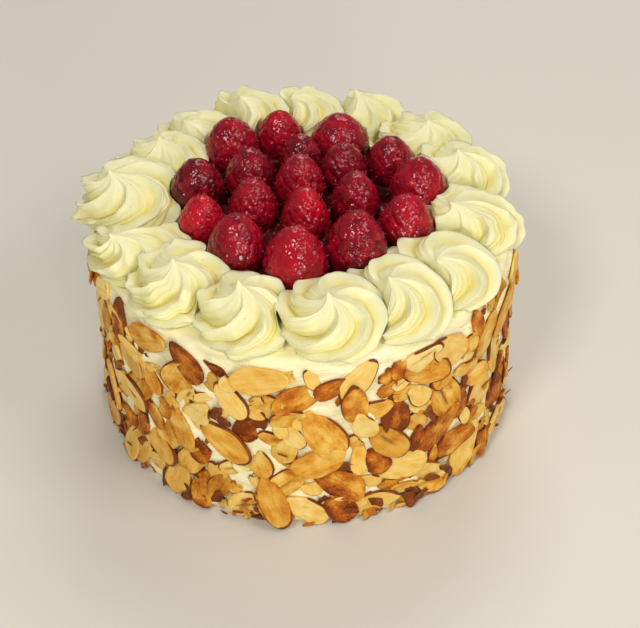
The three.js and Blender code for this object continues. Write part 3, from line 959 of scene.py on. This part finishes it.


# Piped buttercream: smooth and silky, pale yellow, light glows through it; its tint is paler on the crests and
# yellower in the grooves, a painted highlight and painted shade
def pipedButtercream():
    material, shader, add = newMaterial("buttercreamPiped", {
        "Roughness": 0.42, "IOR": 1.45, "Subsurface Weight": 0.22, "Subsurface Scale": 0.004,
        "Subsurface Radius": (1.0, 0.85, 0.4),
    })
    place = add("TexCoord").outputs["Object"]
    hollow = add("Attribute", {"attribute_name": "hollow"}).outputs["Fac"]
    # Painted highlight on the crests and painted shade in the grooves
    tint = add("ValToRGB", {"stops": [(0.0, "#edebc0"), (0.4, "#ebe6ad"), (1.0, "#e8db84")]}, {"Fac": hollow})
    # Vanilla seeds, 0.25 mm in life and drawn twice that so that they show
    seeds = add("TexVoronoi", {"Scale": perMetre(5.5)}, {"Vector": place})
    seedMask = add("MapRange", {"From Min": 0.025, "From Max": 0.045, "To Min": 0.7, "To Max": 0.0},
                   {"Value": seeds})
    seeded = add("Mix", {"data_type": "RGBA", mixTo: toLinear("#8a5a24")}, {mixShare: seedMask, mixFrom: tint})
    air = add("TexNoise", {"Scale": perMetre(1.6), "Detail": 3}, {"Vector": place})
    bump = add("Bump", {"Strength": 0.18, "Distance": 0.0005}, {"Height": air})
    linkInputs(shader, {"Base Color": seeded.outputs[mixOut], "Normal": bump})
    return material


# The corners of a berry's solid reach these shares of its full width and height
solidShare = (0.965, 0.986)
berryNodes = sorted(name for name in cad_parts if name.startswith("raspberry_"))
berryPlaces = []
for name in berryNodes:
    low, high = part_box(name)
    width = max(high.x - low.x, high.y - low.y) * metre / solidShare[0]
    middle = np.array([low.x + high.x, low.y + high.y]) * metre / 2
    berryPlaces.append((middle, width / 2))

pipedMaterial = pipedButtercream()
for row in range(len(rosettes)):
    rings, hollow, centre = rosetteRings(row, berryPlaces)
    top = rings[0].mean(0)
    top[2] = rings[0][:, 2].max() + piping["cap"]
    form = ringForm(rings, top, [centre[0], centre[1], piping["deck"] - piping["sink"]])
    name = f"rosette_{row + 1:02d}"
    values = {"hollow": [hollow.ravel(), [0, 0]]}
    makePiece("piped_" + name, [form], values, pipedMaterial, (name,))
print("Rosettes piped:", len(rosettes))

# Raspberries: the solids' outline with every drupelet
berry = {
    "deck": 79.3,
    "taper": 0.2,
    "core": 0.38,
    "base": 1.7,
    "points": 7000,
    "upperShare": 0.84,   # most of the points lie above the level where the underside starts
    "underside": -0.4,
    "drupelets": 128,
    "levelJitter": 0.006,
    "spinJitter": 0.07,
    "spacing": (0.97, 1.03),
    "sizes": (0.86, 1.0),
    "roundness": 0.8,
    "bump": (0.5, 0.74),  # depth of the grooves, smoother where the glaze is thick
    "swell": 0.25,        # drupelets stand this far proud of the solid's outline
    "spread": 0.72,
    "dimple": 0.24,
    "dimpleWidth": 0.5,
    "soft": (0.12, 5),
    "sink": 0.3,          # the foot reaches into the glaze
    "hairs": 45,
    "hairFrom": 0.2,      # only above this share of the height
    "hairStand": (0.4, 0.95),
    "hairDroop": 0.3,
    "hairBend": 0.2,
    "hairTaper": 0.6,
    "hairLength": (1.2, 2.8),
    "hairRadius": 0.05,
    "hairRings": 4,
    "hairSides": 3,
    "seed": 19,
    "footShade": 0.45,        # painted shade: how much darker the berry is towards its foot
    "footShadeReach": 0.65,
    "toneSpread": 0.4,
    # how ripe and bright each one is, from the back to the front
    "brightness": (0.45, 0.65, 0.5, 0.35, 0.2, 0.3, 0.25, 0.5, 0.3,
                   0.5, 0.78, 0.52, 0.68, 0.38, 0.55, 0.42, 0.55, 0.36),
}


def berryCore(level, angle, radius, height):
    belly = height * berry["core"]
    reach = radius * np.sqrt(np.maximum(1 - level * level, 0)) * (1 - berry["taper"] * np.maximum(level, 0))
    rise = belly + level * np.where(level > 0, height - belly, belly * berry["base"])
    return roundPoints(reach, angle, rise)


def unitSphere():
    # Spiral points on a ball, closest together where they show, joined by their hull
    share = (np.arange(berry["points"]) + 0.5) / berry["points"]
    level = np.interp(share, [0, berry["upperShare"], 1], [1, berry["underside"], -1])
    spin = spiralTurns(berry["points"])
    points = roundPoints(np.sqrt(1 - level * level), spin, level)
    hull = bmesh.new()
    for point in points:
        hull.verts.new(point)
    hull.verts.ensure_lookup_table()
    hull.verts.index_update()
    bmesh.ops.convex_hull(hull, input=hull.verts)
    faces = np.array([[corner.index for corner in face.verts] for face in hull.faces])
    hull.free()
    return points, faces


def berryShape(ball, radius, height, rng):
    # Drupelets in a spiral from tip to base, a rounded bump over each
    count = berry["drupelets"]
    level = 1 - (2 * np.arange(count) + 1) / count + jitter(rng, berry["levelJitter"], count)
    spin = spiralTurns(count) + anyPhase(rng) + jitter(rng, berry["spinJitter"], count)
    seeds = berryCore(level, spin, radius, height)
    spacing = math.sqrt(4 * math.pi / count) * radius * rng.uniform(*berry["spacing"])
    surface = berryCore(ball[:, 2], np.arctan2(ball[:, 1], ball[:, 0]), radius, height)
    away = np.linalg.norm(surface[:, None] - seeds[None], axis=2)
    nearest = away.argmin(1)
    gap = away.min(1) / (spacing * berry["spread"])
    swell = np.maximum(1 - gap * gap, 0) ** berry["roundness"]
    dip = berry["dimple"] * bell(away.min(1) / berry["dimpleWidth"])
    outward = surface - np.array([0, 0, height * berry["core"]])
    outward /= np.linalg.norm(outward, axis=1, keepdims=True)
    sizes = rng.uniform(*berry["sizes"], count)
    soft = uneven(surface, *berry["soft"], anySeed(rng))
    depth = rng.uniform(*berry["bump"])
    shape = surface + outward * (berry["swell"] - depth * (1 - swell * sizes[nearest]) - dip + soft)[:, None]
    shape[:, 2] = np.maximum(shape[:, 2], -berry["sink"])
    return shape, 1 - swell, rng.uniform(0, 1, count)[nearest], seeds


def hairForms(seeds, centre, height, rng):
    # Fine dry hairs, one from the middle of some drupelets, bent along the berry
    forms = []
    inner = np.array([0, 0, height * berry["core"]])
    turns = evenTurns(berry["hairSides"])
    upper = [k for k in range(len(seeds)) if seeds[k][2] > height * berry["hairFrom"]]
    for k in rng.choice(upper, berry["hairs"], replace=False):
        root = seeds[k]
        out = (root - inner) / np.linalg.norm(root - inner)
        side = np.cross(out, rng.normal(size=3))
        side /= np.linalg.norm(side)
        bend = np.cross(out, side)
        length = rng.uniform(*berry["hairLength"])
        stand = rng.uniform(*berry["hairStand"])
        rings = []
        for s in np.linspace(0, 1, berry["hairRings"]):
            way = out * stand * (1 - berry["hairDroop"] * s) + side * (1 - stand) + bend * berry["hairBend"] * s
            middle = root + length * s * way
            thick = berry["hairRadius"] * (1 - berry["hairTaper"] * s)
            rings.append([middle + thick * (math.cos(t) * out + math.sin(t) * bend) for t in turns])
        rings = np.array(rings) + np.array([centre[0], centre[1], berry["deck"]])
        forms.append(ringForm(rings, rings[0].mean(0), rings[-1].mean(0)))
    return forms


# Glazed raspberry: ripe drupelets under clear sugar glaze, deep translucent red with sharp small highlights
def glazedRaspberry():
    material, shader, add = newMaterial("raspberryGlazed", {
        "Roughness": 0.5, "IOR": 1.4, "Specular IOR Level": 0.02,
        "Subsurface Weight": 0.12, "Subsurface Scale": 0.003, "Subsurface Radius": (1.0, 0.1, 0.08),
        "Coat Weight": 1.0, "Coat Roughness": 0.03, "Coat IOR": 1.42,
    })
    tone, hollow = (add("Attribute", {"attribute_name": key}).outputs["Fac"] for key in ("tone", "hollow"))
    ripe = add("ValToRGB", {"stops": [(0.0, "#4c0212"), (0.5, "#9c0822"), (1.0, "#c60e2a")]}, {"Fac": tone})
    # Painted shade: darker red in the grooves between the drupelets
    grooveShade = add("MapRange", {"From Min": 0.4, "From Max": 1.0, "To Min": 0.0, "To Max": 0.55},
                 {"Value": hollow})
    shaded = add("Mix", {"data_type": "RGBA", mixTo: toLinear("#540010")}, {mixShare: grooveShade, mixFrom: ripe})
    place = add("TexCoord").outputs["Object"]
    beads = add("TexVoronoi", {"Scale": perMetre(2.0)}, {"Vector": place})
    bead = add("ValToRGB", {"stops": [(0.0, "#303030"), (0.3, "#ffffff"), (0.6, "#000000")]}, {"Fac": beads})
    bead.color_ramp.interpolation = "EASE"
    bump = add("Bump", {"Strength": 0.3, "Distance": 0.0005}, {"Height": bead})
    linkInputs(shader, {"Base Color": shaded.outputs[mixOut], "Normal": bump, "Coat Normal": bump})
    return material


# Berry hair: dry and straw pale, lightly stained by juice
def berryHair():
    material, shader, add = newMaterial("raspberryHair", {"Roughness": 0.5, "IOR": 1.5})
    place = add("TexCoord").outputs["Object"]
    stain = add("TexNoise", {"Scale": perMetre(2)}, {"Vector": place})
    tint = add("ValToRGB", {"stops": [(0.35, "#cf8478"), (0.65, "#ecc4b0")]}, {"Fac": stain})
    linkInputs(shader, {"Base Color": tint})
    return material


# Fruit glaze: set sugar gel stained by juice, wet and pooled between the berries; its dark red is partly the
# glaze's colour and partly painted shade in the gaps between the berries
def glazeAndGapShade():
    material, shader, add = newMaterial("glazeAndGapShade", {
        "Roughness": 0.3, "IOR": 1.38, "Specular IOR Level": 0.3, "Coat Weight": 0.15, "Coat Roughness": 0.1,
    })
    place = add("TexCoord").outputs["Object"]
    pool = add("TexNoise", {"Scale": perMetre(9), "Detail": 2}, {"Vector": place})
    # Dark red: partly the glaze's own colour, partly painted shade between the berries
    tint = add("ValToRGB", {"stops": [(0.3, "#4a0510"), (0.7, "#7c0c1c")]}, {"Fac": pool})
    linkInputs(shader, {"Base Color": tint})
    return material


berryMaterial = glazedRaspberry()
hairMaterial = berryHair()
ball, ballFaces = unitSphere()
allHairs = []
for row, name in enumerate(berryNodes):
    low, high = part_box(name)
    rng = np.random.RandomState(berry["seed"] + row)
    (centre, radius), height = berryPlaces[row], (high.z * metre - berry["deck"]) / solidShare[1]
    shape, hollow, tone, seeds = berryShape(ball, radius, height, rng)
    shape += np.array([centre[0], centre[1], berry["deck"]])
    # Painted shade: each berry is darker towards its foot
    paintedFootShade = berry["footShade"] * smooth(1 - (shape[:, 2] - berry["deck"]) / (berry["footShadeReach"] * height))
    tone = np.clip(berry["brightness"][row] + berry["toneSpread"] * (tone - 0.5) - paintedFootShade, 0, 1)
    form = (shape, np.zeros((0, 4), int), ballFaces)
    values = {"hollow": [hollow], "tone": [tone]}
    makePiece("glazed_" + name, [form], values, berryMaterial, (name,))
    allHairs += hairForms(seeds, centre, height, rng)
makePiece("berryHairs", allHairs, {}, hairMaterial)
print("Raspberries placed:", len(berryNodes), "with", len(allHairs), "hairs")

# Glaze pooled round the feet of the berries, its dark red partly painted shade in the gaps
glaze = {
    "radius": 51.0,
    "middle": 0.6,
    "level": 1.2,
    "climb": 3.4,
    "climbFrom": 0.8,
    "climbWidth": 1.9,
    "lump": (0.45, 4.5, 31),
    "rim": 2.5,
    "rimSink": 0.3,       # its rim ends in the top of the coat, and its underside lies deeper
    "sink": 0.5,
    "columns": 220,
    "rows": 60,
}


def makeGlaze(material):
    reaches = np.linspace(glaze["middle"], glaze["radius"], glaze["rows"])
    angle, reach = np.meshgrid(evenTurns(glaze["columns"]), reaches)
    x, y = reach * np.cos(angle), reach * np.sin(angle)
    climb = np.zeros_like(x)
    for centre, radius in berryPlaces:
        away = np.hypot(x - centre[0], y - centre[1]) - radius * glaze["climbFrom"]
        climb += glaze["climb"] * np.exp(-np.maximum(away, 0) / glaze["climbWidth"])
    deck = coat["height"]
    height = deck + glaze["level"] + np.minimum(climb, 2 * glaze["climb"])
    height += uneven(np.stack([x, y, 0 * x], -1), *glaze["lump"])
    rim = smooth((glaze["radius"] - reach) / glaze["rim"])
    rings = np.stack([x, y, deck - glaze["rimSink"] + (height - deck + glaze["rimSink"]) * rim], -1)
    under = deck - glaze["sink"]
    rings = np.concatenate([rings, np.stack([x[-1], y[-1], 0 * x[-1] + under], -1)[None]])
    form = ringForm(rings, [0, 0, height[0].mean()], [0, 0, under])
    makePiece("berryGlazeAndShade", [form], {}, material)


makeGlaze(glazeAndGapShade())
print("Glaze poured")

# Plain pale floor and soft studio light
studio = {
    "floorColour": "#dedbd4",
    "floorReach": 2,
    "lights": [
        # place, aim, width and height, power
        ((-0.35, -0.75, 0.95), (0, 0, 0.06), (0.26, 0.26), 5.0),
        ((0.28, -1.1, 0.26), (0, 0, 0.07), (0.24, 0.34), 4.1),
        ((0.65, -0.35, 0.8), (0, 0, 0.06), (0.5, 0.5), 3.3),
        ((0.1, 0.7, 0.9), (0, 0, 0.06), (0.5, 0.5), 3.9),
    ],
    "lightColour": "#fffaf0",
    "ambient": 0.26,
    "ambientColour": "#fffaf2",
}


def makeStudio():
    mesh = bpy.data.meshes.new("floor")
    far = studio["floorReach"]
    mesh.from_pydata([(-far, -far, 0), (far, -far, 0), (far, far, 0), (-far, far, 0)], [], [(0, 1, 2, 3)])
    paint = {"Roughness": 0.6, "Base Color": toLinear(studio["floorColour"])}
    mesh.materials.append(newMaterial("paintedFloor", paint)[0])
    addObject("floor", mesh)
    for place, aim, size, power in studio["lights"]:
        data = bpy.data.lights.new("softbox", "AREA")
        data.energy = power
        data.color = toLinear(studio["lightColour"])[:3]
        data.shape = "RECTANGLE"
        data.size, data.size_y = size
        lamp = addObject("softbox", data)
        lamp.location = place
        lamp.rotation_euler = (Vector(aim) - Vector(place)).to_track_quat("-Z", "Y").to_euler()
    world = bpy.data.worlds.new("studio")
    world.use_nodes = True
    background = world.node_tree.nodes["Background"].inputs
    background["Strength"].default_value = studio["ambient"]
    background["Color"].default_value = toLinear(studio["ambientColour"])
    bpy.context.scene.world = world
    bpy.context.scene.view_settings.view_transform = "Standard"


makeStudio()
print("Studio lit")
